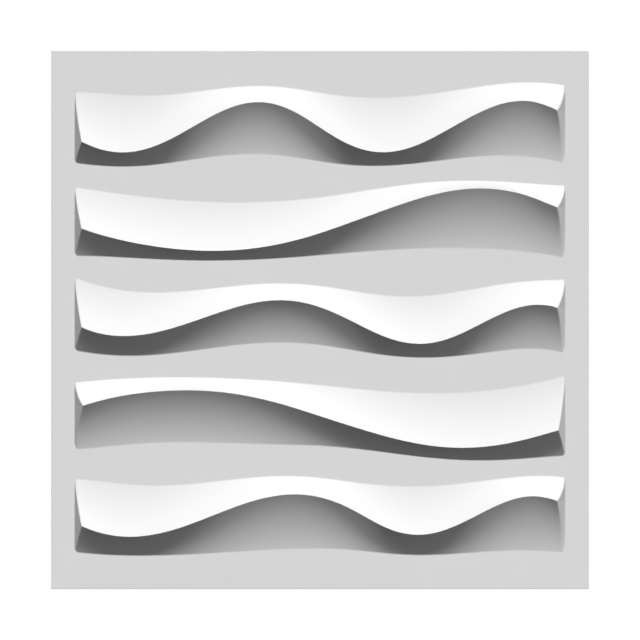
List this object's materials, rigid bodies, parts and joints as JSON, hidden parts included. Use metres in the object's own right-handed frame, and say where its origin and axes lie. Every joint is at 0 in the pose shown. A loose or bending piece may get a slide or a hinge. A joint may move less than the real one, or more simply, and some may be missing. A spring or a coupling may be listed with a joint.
{
  "type": "3d wall panel tile",
  "caption": "Square wall panel tile formed from one thin sheet, with wavy horizontal ridges on a flat margin, hollow at the back.",
  "frame": {"origin": "under the middle of the tile, at the plane of its back", "axes": "+X along the ridges, to the right as it hangs; +Y up the wall; +Z out of the face"},
  "size_m": [0.5, 0.5, 0.0202],
  "materials": {
    "panel": "matt white formed plastic sheet"
  },
  "bodies": {
    "root": {"wave_panel": "panel"}
  },
  "joints": []
}
